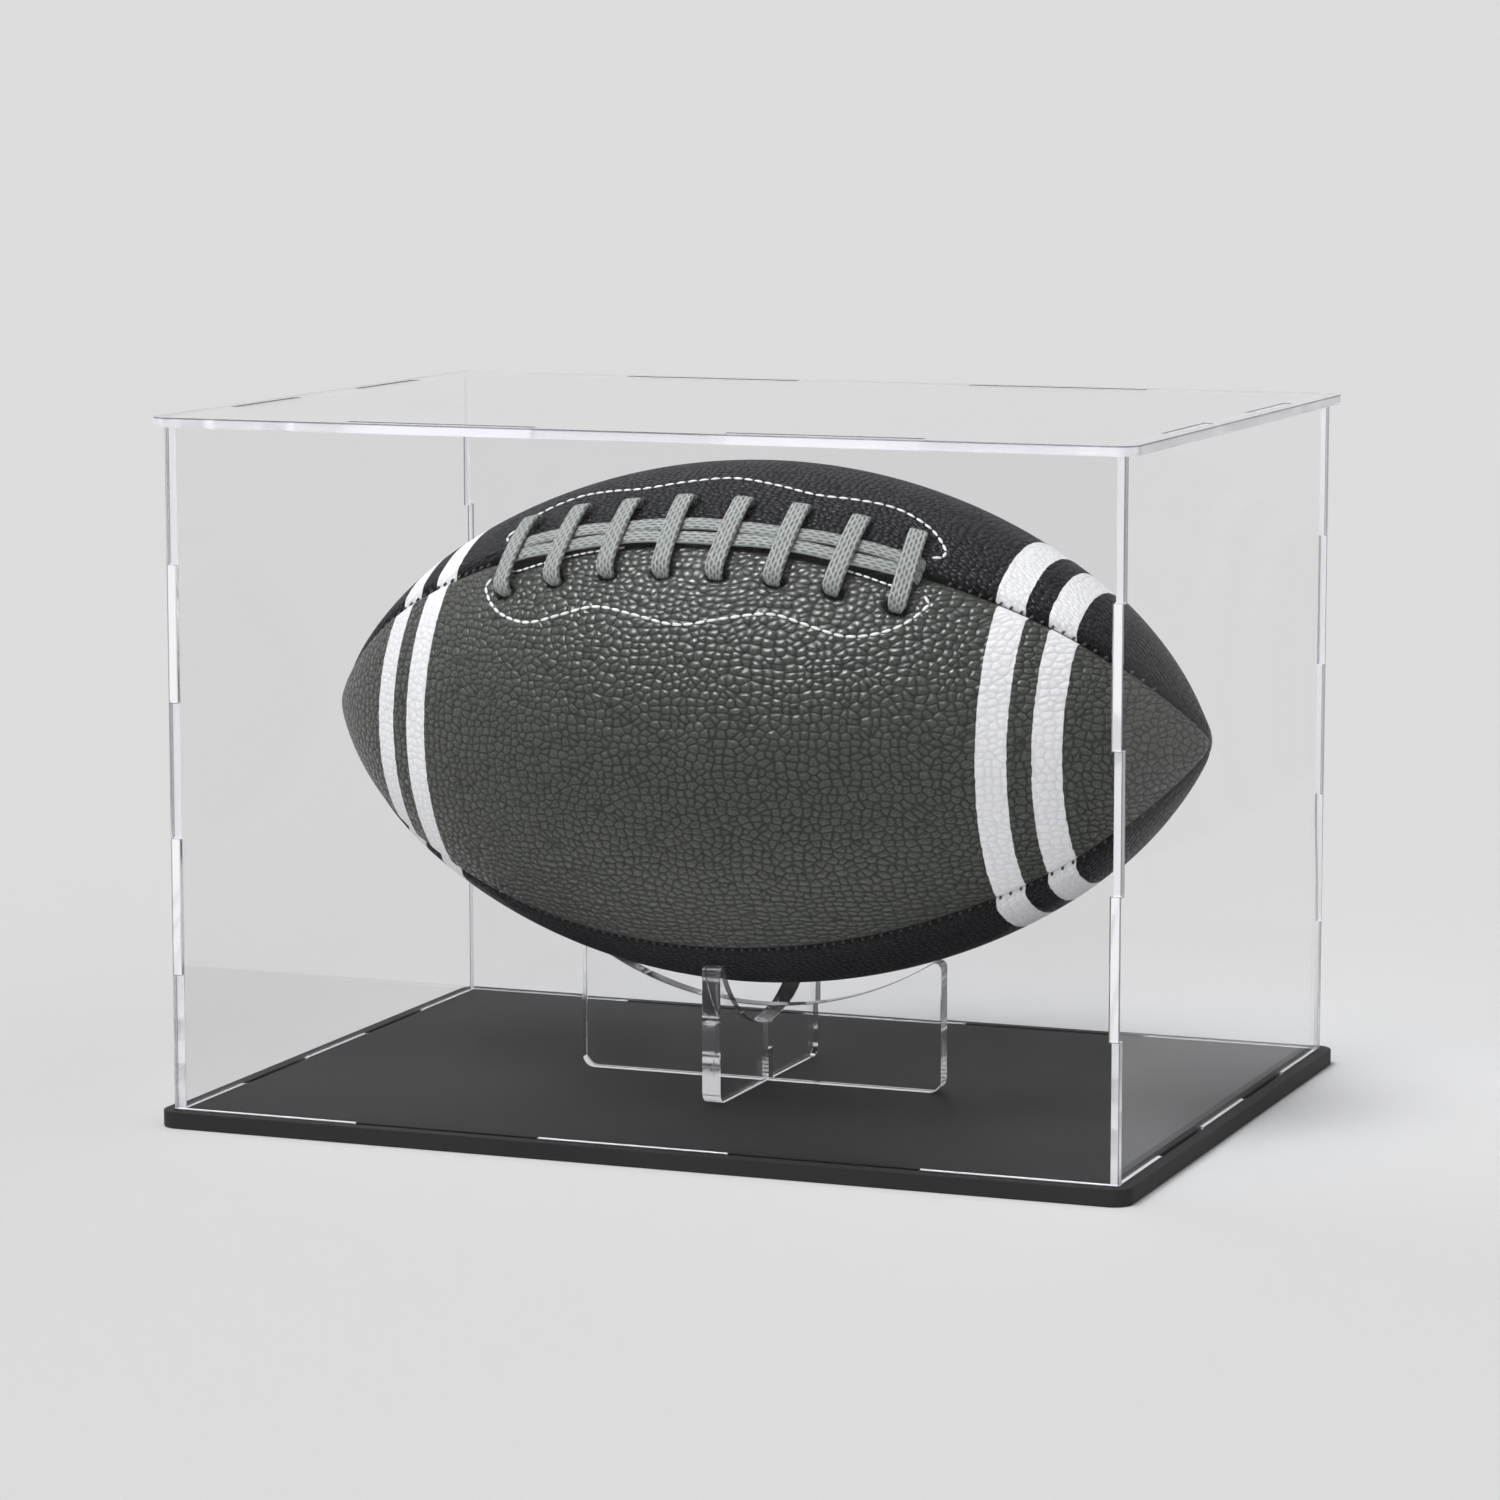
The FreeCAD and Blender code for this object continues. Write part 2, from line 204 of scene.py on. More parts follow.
# %% The floor
floor_reach, floor_drop, floor_grey = 300, 0.0002, (0.717, 0.717, 0.717, 1)
floor_mesh = bmesh.new()
bmesh.ops.create_grid(floor_mesh, x_segments=1, y_segments=1, size=floor_reach)
floor = bpy.data.objects.new("floor", bpy.data.meshes.new("floor"))
floor_mesh.to_mesh(floor.data)
floor_mesh.free()
scene.collection.objects.link(floor)
floor.location.z = -floor_drop
floor.visible_shadow = False
pale_floor, tree, shader = new_finish("pale_floor", Base_Color=floor_grey, Roughness=1.0,
                                      Specular_IOR_Level=0.0)
floor.data.materials.append(pale_floor)
print("floor ready")

# %% [markdown]
# Clear sheet
# The walls, lid and stand are clear acrylic cut by laser. The faces are polished; the cut edges are
# a little hazy, with fine lines where the beam passed. Their pale colour is partly that haze and
# partly painted reflection of the bright surround, and a thin dark rim along the outer face is
# painted shade. The edge is told from the face by the surface's own direction, one finish for each
# way a sheet can stand. Lamps would cast a black shadow through true glass, so rays from lamps pass
# straight through. The end walls, which are seen at a slant, bend light less than acrylic does, and
# less still higher up, so that they hold no second picture of the ball. The front wall mirrors
# least.

# %% Clear sheet
# where the painted shade of the dark rim starts and where it is full, in from the outer face
shade_rim_start, shade_rim_full = 0.0006, 0.0003    # the dark rim, measured in from the outer face
low_z, high_z = 0.045, 0.085            # heights between which an end wall's index changes


def clear_sheet(name, thin, tint, clear_edge, outer, index=1.49, index_high=1.49, mirror=0.3):
    """Clear acrylic for a sheet whose thin direction is X, Y or Z."""
    finish, tree, shader = new_finish(name, IOR=index, Specular_Tint=(mirror, mirror, mirror, 1))
    place = add(tree, "TexCoord").outputs
    facing = add(tree, "SeparateXYZ", {0: place["Normal"]}).outputs[thin]
    spot = add(tree, "SeparateXYZ", {0: place["Object"]}).outputs
    face = maths(tree, "GREATER_THAN", maths(tree, "ABSOLUTE", facing), 0.95)
    edge = maths(tree, "SUBTRACT", 1.0, face)

    polish = ramp(tree, noise(tree, place["Object"], 14.0, 4.0), 0.45, 0.75, 0.004, 0.022)
    beam = noise(tree, place["Object"], 420.0, 2.0)
    haze = ramp(tree, beam, 0.3, 0.7, 0.04, 0.12)
    rough = add(tree, "Mix", {0: face, 2: haze, 3: polish}).outputs[0]
    tree.links.new(rough, shader.inputs["Roughness"])
    bump(tree, shader, maths(tree, "MULTIPLY", beam, edge), 0.06, 0.0002)

    reach = maths(tree, "ABSOLUTE", spot[thin])
    # painted shade: a thin dark rim along the outer face of a cut edge
    rim = ramp(tree, reach, outer - shade_rim_start, outer - shade_rim_full)
    # the cut edge's pale colour is partly haze and partly painted reflection of the surround
    edge_haze_and_painted_light = blend(tree, rim, (0.95, 0.95, 0.985, 1), (0.26, 0.26, 0.28, 1))
    tree.links.new(blend(tree, face, edge_haze_and_painted_light, tint), shader.inputs["Base Color"])
    clear = add(tree, "Mix", {0: face, 2: clear_edge, 3: 1.0}).outputs[0]
    tree.links.new(clear, shader.inputs["Transmission Weight"])
    bending = ramp(tree, spot["Z"], low_z, high_z, index, index_high)
    tree.links.new(bending, shader.inputs["IOR"])

    passing = add(tree, "BsdfTransparent", {"Color": (0.95, 0.955, 0.965, 1)}).outputs[0]
    from_lamp = add(tree, "LightPath").outputs["Is Shadow Ray"]
    both = add(tree, "MixShader", {0: from_lamp, 1: shader.outputs[0], 2: passing})
    tree.links.new(both.outputs[0], tree.nodes["Material Output"].inputs["Surface"])
    return finish


end_tint, stand_tint = (0.995, 0.995, 1.0, 1), (0.97, 0.97, 0.975, 1)
front_tint, back_tint = (0.925, 0.925, 0.93, 1), (0.965, 0.965, 0.97, 1)
lid_tint = (0.955, 0.95, 0.97, 1)
wall_edge, lid_edge, stand_edge = 0.52, 0.62, 0.96    # how clear a cut edge is
end_x, front_y, lid_top, stand_rim = 0.150, 0.110, 0.2161, 0.010
sheets = {
    "left_wall": clear_sheet("clear_sheet_left", "X", end_tint, wall_edge, end_x, 1.27, 1.06),
    "right_wall": clear_sheet("clear_sheet_right", "X", end_tint, wall_edge, end_x, 1.16, 1.04),
    "front_wall": clear_sheet("clear_sheet_y", "Y", front_tint, wall_edge, front_y, mirror=0.16),
    "back_wall": clear_sheet("clear_sheet_back", "Y", back_tint, wall_edge, front_y),
    "lid_plate": clear_sheet("clear_sheet_z", "Z", lid_tint, lid_edge, lid_top),
    "stand_cross_plate": clear_sheet("clear_stand_x", "X", stand_tint, stand_edge, stand_rim),
    "stand_long_plate": clear_sheet("clear_stand_y", "Y", stand_tint, stand_edge, stand_rim),
}
for name, finish in sheets.items():
    dress([name], finish)

# %% [markdown]
# Black base
# The base is black acrylic with a satin top. Its depth comes from a dark colour under a soft
# reflection, and a fine uneven polish keeps that reflection from looking like paint.

# %% Black base
black_low, black_high = (0.0205, 0.0205, 0.0212, 1), (0.0255, 0.0255, 0.0262, 1)
black_base, tree, shader = new_finish("black_base", IOR=1.49, Specular_IOR_Level=0.12)
place = add(tree, "TexCoord").outputs["Object"]
cloud = noise(tree, place, 9.0, 5.0)
dust = noise(tree, place, 900.0, 2.0)
speck = maths(tree, "MULTIPLY", ramp(tree, dust, 0.68, 0.76), 0.25)
colour = blend(tree, ramp(tree, cloud, 0.3, 0.7), black_low, black_high)
colour = blend(tree, speck, colour, (0.06, 0.06, 0.06, 1))
tree.links.new(colour, shader.inputs["Base Color"])
tree.links.new(ramp(tree, cloud, 0.3, 0.7, 0.52, 0.60), shader.inputs["Roughness"])
bump(tree, shader, dust, 0.05, 0.0001)
dress(["base_plate"], black_base)

# %% [markdown]
# The outline of the ball
# A football is a body of revolution with three arcs in its outline: a long flat arc over the belly,
# a tighter one over the shoulder and a small one round the tip. Here is the radius at any place
# along it, in metres, and the point on the ball at any place and height round it.

# %% The outline of the ball
ball_centre = Vector((0, 0, 0.118))
half_length, half_width = 0.143, 0.081
belly_r, shoulder_x, tip_r = 0.183, 0.100, 0.014
belly_drop = belly_r - half_width
tip_x = half_length - tip_r
belly_end = asin(shoulder_x / belly_r)
shoulder_y = belly_r * cos(belly_end) - belly_drop
lean = (shoulder_x - tip_x) * sin(belly_end) + shoulder_y * cos(belly_end)
shoulder_r = ((shoulder_x - tip_x) ** 2 + shoulder_y ** 2 - tip_r ** 2) / (2 * (lean - tip_r))
shoulder_c = Vector((shoulder_x - shoulder_r * sin(belly_end),
                     shoulder_y - shoulder_r * cos(belly_end)))
tip_join = shoulder_c.x + shoulder_r * (tip_x - shoulder_c.x) / (shoulder_r - tip_r)


def girth(x):
    """Radius of the ball at a place along its length."""
    x = min(abs(x), half_length)
    if x < shoulder_x:
        return sqrt(belly_r ** 2 - x ** 2) - belly_drop
    if x < tip_join:
        return sqrt(shoulder_r ** 2 - (x - shoulder_c.x) ** 2) + shoulder_c.y
    return sqrt(max(tip_r ** 2 - (x - tip_x) ** 2, 0))


def outward(x, elevation):
    """Direction straight out of the ball's surface."""
    if abs(x) < shoulder_x:
        tilt = asin(x / belly_r)
    elif abs(x) < tip_join:
        tilt = copysign(asin((abs(x) - shoulder_c.x) / shoulder_r), x)
    else:
        tilt = copysign(asin(min((abs(x) - tip_x) / tip_r, 1)), x)
    return Vector((sin(tilt), -cos(tilt) * cos(elevation), cos(tilt) * sin(elevation)))


def on_ball(x, elevation, lift=0.0):
    """A point on the ball, lifted off it along its surface direction."""
    r = girth(x)
    spot = ball_centre + Vector((x, -r * cos(elevation), r * sin(elevation)))
    return spot + outward(x, elevation) * lift


print("shoulder radius", round(shoulder_r, 4), "tip joins at", round(tip_join, 4))

# %% [markdown]
# Pieces of the ball
# Every new piece of the ball ends the same way: its bmesh becomes a mesh with smooth faces and one
# finish, it rides on the football's body, and it says which built pieces it stands in for.

# %% Pieces of the ball
def keep(name, bm, finish, replaces=()):
    """Turn a bmesh into a piece of the football."""
    mesh = bpy.data.meshes.new(name)
    bm.to_mesh(mesh)
    bm.free()
    mesh.materials.append(finish)
    mesh.polygons.foreach_set("use_smooth", [True] * len(mesh.polygons))
    piece = bpy.data.objects.new(name, mesh)
    scene.collection.objects.link(piece)
    ball_pieces.objects.link(piece)
    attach(piece, "football")
    for node in replaces:
        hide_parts(node)
    print(name, len(mesh.polygons), "faces")
    return piece

# %% [markdown]
# Pebbles and stripes
# The ball is pressed leather: rounded pebbles, packed like scales, with creases between them that
# painted shade darkens, and printed white stripes that run round each end over the same pebbles.
# Cells of a Voronoi texture are the pebbles; the distance to a cell's border is the crease. The
# cells lie on the panel's own map, so they keep one size all over it. The stripes follow the place
# along the ball.

# %% Pebbles and stripes
pebble_stretch = (0.85, 1.12, 1.0)
inner_stripe, outer_stripe = (0.0931, 0.0041), (0.1074, 0.0038)    # middle, half width
stripe_fray = 0.0006


def pebble_field(tree, pebble):
    """The dome of each pebble, from 0 in the crease, and the height of the whole field."""
    flat = add(tree, "UVMap", uv_map="grain").outputs[0]
    drift = noise(tree, flat, 45.0, 1.0, "Color")
    drift = add(tree, "VectorMath", {0: drift, "Scale": pebble * 1.6}, operation="SCALE").outputs[0]
    flat = add(tree, "VectorMath", {0: flat, 1: drift}, operation="ADD").outputs[0]
    flat = add(tree, "VectorMath", {0: flat, 1: pebble_stretch}, operation="MULTIPLY").outputs[0]
    cell = {"Vector": flat, "Scale": 1 / pebble, "Randomness": 0.78}
    near, next_near = (
        add(tree, "TexVoronoi", cell, feature=feature, voronoi_dimensions="2D").outputs["Distance"]
        for feature in ("F1", "F2"))
    dome = ramp(tree, maths(tree, "SUBTRACT", next_near, near), 0.0, 0.75)
    crown = maths(tree, "MULTIPLY_ADD", maths(tree, "MULTIPLY", near, near), -2.0, 1.0)
    height = maths(tree, "MULTIPLY_ADD", crown, 0.62, maths(tree, "MULTIPLY", dome, 0.38))
    return dome, height


def stripe_paint(tree, place, shift):
    """1 on the two printed stripes at each end, with a slightly frayed border."""
    ragged = noise(tree, place, 420.0, 1.0)
    x = maths(tree, "ABSOLUTE", add(tree, "SeparateXYZ", {0: place}).outputs["X"])
    x = maths(tree, "ADD", x, shift - stripe_fray / 2)
    x = maths(tree, "MULTIPLY_ADD", ragged, stripe_fray, x)
    return maths(tree, "MAXIMUM", maths(tree, "COMPARE", x, *inner_stripe),
                 maths(tree, "COMPARE", x, *outer_stripe))


print("stripes at", inner_stripe[0], "and", outer_stripe[0])

# %% [markdown]
# Leather
# A pebble's top is rubbed smooth and shines, while the crease beside it stays dull, so gloss and
# roughness both follow the dome; the crease is also darker, which is painted shade, on the leather
# and on the white print. A number kept on the panel's mesh is 1 where a lace hole is punched or a
# seam folds in, and there painted shade turns the leather black, and it turns dull.

# %% Leather
def leather(name, high, shaded_crease, pebble, depth, shine, gloss, shift):
    """Pressed leather with pebbles of one size, and the two printed stripes at each end."""
    finish, tree, shader = new_finish(name, IOR=1.46, Specular_IOR_Level=gloss)
    place = add(tree, "TexCoord").outputs["Object"]
    dome, height = pebble_field(tree, pebble)
    paint = stripe_paint(tree, place, shift)
    pore = noise(tree, place, 1400.0, 3.0)
    patch = noise(tree, place, 22.0, 3.0)
    painted_shade = add(tree, "Attribute", attribute_name="painted_shade").outputs["Fac"]

    # painted shade: the creases between pebbles are darker than the pebble tops
    crease_shade_mask = ramp(tree, dome, 0.0, 0.45)
    worn = tuple(v * 0.7 for v in high[:3]) + (1,)
    colour = blend(tree, crease_shade_mask, shaded_crease, high)
    colour = blend(tree, ramp(tree, patch, 0.3, 0.7, 0.0, 0.2), colour, worn)
    # painted shade: black in the lace holes and in the folds of the seams
    colour = blend(tree, painted_shade, colour, (0.006, 0.006, 0.006, 1))
    # the white print is darker in the creases too, which is painted shade
    white = blend(tree, crease_shade_mask, (0.70, 0.70, 0.71, 1), (0.80, 0.80, 0.81, 1))
    tree.links.new(blend(tree, paint, colour, white), shader.inputs["Base Color"])

    mirror = ramp(tree, dome, 0.0, 0.6, gloss * 0.38, gloss)
    mirror = maths(tree, "MULTIPLY", mirror, maths(tree, "MULTIPLY_ADD", painted_shade, -0.9, 1.0))
    tree.links.new(mirror, shader.inputs["Specular IOR Level"])
    rough = ramp(tree, dome, 0.1, 0.9, shine + 0.14, shine)
    tree.links.new(maths(tree, "MULTIPLY_ADD", pore, 0.1, rough), shader.inputs["Roughness"])
    height = maths(tree, "MULTIPLY", height, maths(tree, "MULTIPLY_ADD", paint, -0.6, 1.0))
    bump(tree, shader, maths(tree, "MULTIPLY_ADD", pore, 0.06, height), 1.0, depth)
    return finish


# each leather's second colour is the painted shade in its creases
grey_front = leather("grey_leather", (0.050, 0.055, 0.046, 1), (0.024, 0.0265, 0.0225, 1),
                     pebble=0.0026, depth=0.00048, shine=0.22, gloss=0.58, shift=0.0)
dark_top = leather("dark_leather", (0.0062, 0.0072, 0.0100, 1), (0.004, 0.004, 0.0052, 1),
                   pebble=0.0019, depth=0.0005, shine=0.29, gloss=0.19, shift=0.0012)
print("leather ready")

# %% [markdown]
# Seams and lace holes
# Two panels meet in a groove, because the leather turns in where it is sewn. Along the laces the
# lower edge stands back from the seam, most at the ends, so that the slit of the ball shows under
# the strands. On each side of it eight holes are punched for the loops, and each pulls the leather
# down a little. These are plain formulas in metres, from the distance to a seam or a hole.

# %% Seams and lace holes
lace_seam, wide_panel = radians(51), radians(104)
narrow_panel = pi - wide_panel
loop_pitch, loop_reach = 0.018, 0.0155
loop_places = [(k - 3.5) * loop_pitch for k in range(8)]
slit_end, slit_ease = 0.073, 0.013
edge_back, edge_flare, flare_x = 0.0034, 0.0038, 0.062
groove_w, groove_depth, slender_r = 0.0042, 0.0021, 0.03
# how far the painted shade reaches from the fold of a seam, for each leather
seam_shadow = {"grey_leather": 0.0009, "dark_leather": 0.0020}
hole_length, hole_width, hole_depth = 0.0044, 0.0032, 0.0018


def slit(x):
    """How far open the laced slit is at a place along it, from 0 to 1."""
    t = min(max((slit_end - abs(x)) / slit_ease, 0), 1)
    return t * t * (3 - 2 * t)


def slit_edge(x):
    """How far the lower panel's edge stands back from the seam, most at the ends of the slit."""
    return (edge_back + edge_flare * (x / flare_x) ** 2) * slit(x)


def groove(distance, r):
    """How deep the leather lies at a distance from its seam."""
    t = max(1 - distance / groove_w, 0)
    return groove_depth * t * t * min(r / slender_r, 1)


def fold_shade(distance, r, width):
    """How much painted shade darkens the fold of the seam, from 0 to 1."""
    return min(max(1.6 - 1.6 * distance / (width * min(r / slender_r, 1)), 0), 1)


def lace_hole(x, away):
    """How deep the leather lies at a lace hole, if one is near, and how strong the painted shade in
    it is.
    """
    for place in loop_places:
        q = ((x - place) / hole_length) ** 2 + ((away - loop_reach) / hole_width) ** 2
        if q < 1:
            return hole_depth * (1 - q) ** 1.5, min(2.2 * (1 - q), 1)
    return 0, 0


print(len(loop_places), "pairs of lace holes")

# %% [markdown]
# The four panels
# Each panel is a strip of the ball between two seams. A line of points along the outline is spun
# round the ball's axis; then the rows are gathered towards the seams, where the leather turns down
# into the groove and needs more faces. A map of distances along and round the ball carries the
# pebbles. The wall thickness is left to a modifier, which always grows inwards.

# %% The four panels
seam_half, leather_t, map_step = 0.00015, 0.002, 0.37


def gather(t):
    """Crowd evenly spaced rows towards both ends."""
    return t - 0.8 * sin(2 * pi * t) / (2 * pi)


def spun_strip(high, sweep, columns, rows):
    """A strip of the ball, spun from its upper seam down, with its length along the outline."""
    bm = bmesh.new()
    along = bm.verts.layers.float.new("along")
    # a layer for the painted shade in the folds of the seams and in the lace holes
    bm.verts.layers.float.new("painted_shade")
    line = []
    for k in range(columns + 1):
        x = half_length * sin(pi * (k / columns - 0.5))
        line.append(bm.verts.new((x, -girth(x) * cos(high), girth(x) * sin(high))))
        if k:
            before = line[k - 1]
            line[k][along] = before[along] + (line[k].co - before.co).length
    edges = [bm.edges.new(pair) for pair in zip(line, line[1:])]
    bmesh.ops.spin(bm, geom=line + edges, cent=(0, 0, 0), axis=(1, 0, 0), angle=sweep, steps=rows)
    bmesh.ops.remove_doubles(bm, verts=bm.verts, dist=1e-6)
    return bm


def panel(name, high, sweep, open_high, open_low, lace_side, columns, rows, finish, slot, index):
    """One leather panel from its upper seam down, with room for the laced slit."""
    bm = spun_strip(high, sweep, columns, rows)
    grain = bm.loops.layers.uv.new("grain")
    along, painted_shade = (bm.verts.layers.float[layer] for layer in ("along", "painted_shade"))
    turned = {}
    for vert in bm.verts:
        x, r = vert.co.x, girth(vert.co.x)
        if r < 1e-5:
            vert.co = on_ball(x, 0)
            turned[vert] = 0
            continue
        down = (high - atan2(vert.co.z, -vert.co.y)) % (2 * pi)
        t = gather(down / sweep if down < sweep + 0.1 else 0)
        top = high - (seam_half + open_high * slit_edge(x)) / r
        low = high - sweep + (seam_half + open_low * slit(x)) / r
        elevation = top + (low - top) * t
        turned[vert] = elevation
        from_seam = min(top - elevation, elevation - low) * r
        sunk = groove(from_seam, r)
        # painted shade in the fold of the seam, kept on the mesh for the leather's colour
        vert[painted_shade] = fold_shade(from_seam, r, seam_shadow[slot])
        if lace_side:
            # a lace hole pulls the leather down and adds painted shade in the hole
            pulled, hole_shade = lace_hole(x, (elevation - lace_seam) * r * lace_side)
            sunk += pulled
            vert[painted_shade] = max(vert[painted_shade], hole_shade)
        vert.co = on_ball(x, elevation, -sunk)
    for face in bm.faces:
        for loop in face.loops:
            offset = (high - sweep / 2 - turned[loop.vert]) * girth(loop.vert.co.x)
            loop[grain].uv = (loop.vert[along] + map_step * index, offset)
    bmesh.ops.recalc_face_normals(bm, faces=bm.faces)
    if sum((f.calc_center_median() - ball_centre).dot(f.normal) for f in bm.faces) < 0:
        bmesh.ops.reverse_faces(bm, faces=bm.faces)
    piece = keep("ball_%s_cover" % name, bm, finish, ["ball_%s_panel" % name])
    wall = piece.modifiers.new("wall", "SOLIDIFY")
    wall.thickness = leather_t
    wall.offset = -1


grey, dark = (grey_front, "grey_leather"), (dark_top, "dark_leather")
panel("front", lace_seam, wide_panel, 1, 0, -1, 300, 110, *grey, 0)
panel("bottom", lace_seam - wide_panel, narrow_panel, 0, 0, 0, 240, 80, *dark, 1)
panel("back", lace_seam - pi, wide_panel, 0, 0, 0, 260, 96, *grey, 2)
panel("top", lace_seam + narrow_panel, narrow_panel, 0, 0.0012, 1, 300, 84, *dark, 3)

# %% [markdown]
# Lace webbing
# The lace is a flat woven tape. Its yarns cross each other like a net, and leave small slots
# between them, in rows along the tape, with every second row half a step on. The slots are dark
# with painted shade. The place inside one slot's cell is enough to draw all of them.

# %% Lace webbing
row_width, slot_step = 0.00115, 0.0032
webbing, tree, shader = new_finish("lace_webbing", IOR=1.45, Specular_IOR_Level=0.3,
                                   Sheen_Weight=0.2, Sheen_Roughness=0.5)
tape = add(tree, "UVMap", uv_map="tape").outputs[0]
fibre = noise(tree, tape, 2600.0, 2.0)
sway = noise(tree, tape, 500.0, 1.0)
spot = add(tree, "SeparateXYZ", {0: tape}).outputs
rows = maths(tree, "MULTIPLY_ADD", sway, 0.3, maths(tree, "DIVIDE", spot["Y"], row_width))
half_steps = maths(tree, "MULTIPLY", maths(tree, "FLOOR", rows), 0.5)
steps = maths(tree, "ADD", maths(tree, "DIVIDE", spot["X"], slot_step), half_steps)
off_row, off_step = (
    maths(tree, "MULTIPLY", maths(tree, "SUBTRACT", maths(tree, "FRACT", count), 0.5), tight)
    for count, tight in ((rows, 3.1), (steps, 2.5)))
off = maths(tree, "MULTIPLY_ADD", off_row, off_row, maths(tree, "MULTIPLY", off_step, off_step))
yarn = ramp(tree, off, 0.15, 1.35)
# painted shade: the slots between the yarns are darker than the yarns
colour = blend(tree, yarn, (0.135, 0.145, 0.138, 1), (0.33, 0.355, 0.335, 1))
colour = blend(tree, ramp(tree, fibre, 0.35, 0.75, 0.0, 0.3), colour, (0.20, 0.22, 0.205, 1))
tree.links.new(colour, shader.inputs["Base Color"])
tree.links.new(ramp(tree, fibre, 0.3, 0.7, 0.62, 0.8), shader.inputs["Roughness"])
bump(tree, shader, maths(tree, "MULTIPLY_ADD", fibre, 0.12, yarn), 1.0, 0.0004)
print("webbing ready")

# %% [markdown]
# Tools for tape
# A tape could follow a curve object, but a bmesh keeps its map and its ends under control. A
# flattened ring is the tape's outline; it is drawn straight on or swung round a centre, and each
# move hands back the last copy of the ring, ready for the next move.

# %% Tools for tape
def tape_ring(bm, width, thick):
    """The rounded outline of a flat tape, across X and up Z."""
    ring = bmesh.ops.create_circle(bm, segments=20, radius=1)["verts"]
    for vert in ring:
        across, up = vert.co.x, vert.co.y
        vert.co = (copysign(abs(across) ** 0.35, across) * width / 2, 0,
                   copysign(abs(up) ** 0.75, up) * thick / 2)
    return ring + list({edge for vert in ring for edge in vert.link_edges})


def swing(bm, ring, centre, axis, angle, steps):
    """Spin an outline round a centre and return its last copy."""
    made = bmesh.ops.spin(bm, geom=ring, cent=centre, axis=axis, angle=angle, steps=steps)
    return made["geom_last"]


def pull(bm, ring, move):
    """Draw an outline straight on and return its last copy."""
    edges = [part for part in ring if isinstance(part, bmesh.types.BMEdge)]
    made = bmesh.ops.extrude_edge_only(bm, edges=edges)["geom"]
    fresh = [part for part in made if isinstance(part, bmesh.types.BMVert)]
    bmesh.ops.translate(bm, verts=fresh, vec=move)
    last = set(fresh)
    made_edges = [part for part in made if isinstance(part, bmesh.types.BMEdge)]
    return fresh + [edge for edge in made_edges if set(edge.verts) <= last]


def turn_all(bm, angle, axis):
    """Turn everything so far about an axis through the origin."""
    bmesh.ops.rotate(bm, verts=bm.verts, cent=(0, 0, 0), matrix=Matrix.Rotation(angle, 3, axis))


def seam_frame(x):
    """Along the seam, up the ball and straight out at x, and how tightly the ball bends there."""
    out = outward(x, lace_seam)
    across = Vector((0, sin(lace_seam), cos(lace_seam)))
    along = across.cross(out)
    place = Matrix((along, across, out)).transposed().to_4x4()
    place.translation = on_ball(x, lace_seam)
    return place, girth(x) / hypot(out.y, out.z)


print("tape tools ready")

# %% [markdown]
# Lace loops
# Eight loops cross the seam. Each comes up out of a hole, turns over, follows the ball above the
# two strands and goes down again on the other side. The tape's outline is drawn up, swung through
# the turn, swung over the ball, and so on. No two loops are pulled quite alike, so reach and lean
# vary a little, and every leg gets narrower where its hole squeezes it.

# %% Lace loops
loop_rise, loop_bend, loop_t, loop_w = 0.0019, 0.0021, 0.0017, 0.0058
leg, squeeze, squeeze_from, squeeze_over = 0.0036, 0.30, 0.0030, 0.0035
middle = loop_bend + loop_t / 2


def lace_loop(place_x, reach, bend):
    """One loop over the seam, on a ball of one bend, with its map along the tape."""
    phi = (reach - loop_bend - loop_t / 2) / bend
    bm = bmesh.new()
    mapping = bm.loops.layers.uv.new("tape")
    ring = tape_ring(bm, loop_w, loop_t)
    turn_all(bm, -pi / 2 - phi, "X")
    tilt = Matrix.Rotation(-phi, 3, "X")
    foot = tilt @ Vector((0, 0, bend + loop_rise - loop_bend)) - Vector((0, 0, bend))
    far = Vector((foot.x, -foot.y, foot.z))
    side, up = tilt @ Vector((0, 1, 0)), tilt @ Vector((0, 0, 1))
    bmesh.ops.translate(bm, verts=bm.verts, vec=foot + side * middle - up * leg)
    ring = pull(bm, ring, up * leg)
    ring = swing(bm, ring, foot, (1, 0, 0), pi / 2, 6)
    ring = swing(bm, ring, (0, 0, -bend), (1, 0, 0), 2 * phi, 22)
    ring = swing(bm, ring, far, (1, 0, 0), pi / 2, 6)
    pull(bm, ring, Vector((0, up.y, -up.z)) * leg)
    bmesh.ops.holes_fill(bm, edges=bm.edges, sides=0)
    for face in bm.faces:
        for loop in face.loops:
            spot = loop.vert.co
            drop = loop_rise + loop_t + bend - hypot(spot.y, spot.z + bend)
            drop *= min(max(spot.y / 0.008, -1), 1)
            run = atan2(spot.y, spot.z + bend) * bend + drop
            loop[mapping].uv = (run + place_x * 3, spot.x)
    for vert in bm.verts:
        sunk = squeeze_from + bend - hypot(vert.co.y, vert.co.z + bend)
        vert.co.x *= 1 - squeeze * min(max(sunk / squeeze_over, 0), 1) ** 2
    return bm


random.seed(4)
loops = bmesh.new()
loops.loops.layers.uv.new("tape")
for place_x in loop_places:
    place, bend = seam_frame(place_x)
    bm = lace_loop(place_x, loop_reach + random.uniform(-0.0006, 0.0006), bend)
    lean_over = Matrix.Rotation(radians(random.uniform(-3, 3)), 4, "Z")
    bmesh.ops.transform(bm, verts=bm.verts, matrix=place @ lean_over)
    bmesh.ops.recalc_face_normals(bm, faces=bm.faces)
    one = bpy.data.meshes.new("one_loop")
    bm.to_mesh(one)
    bm.free()
    loops.from_mesh(one)
    bpy.data.meshes.remove(one)
keep("laced_loops", loops, webbing, ["lace_loops"])

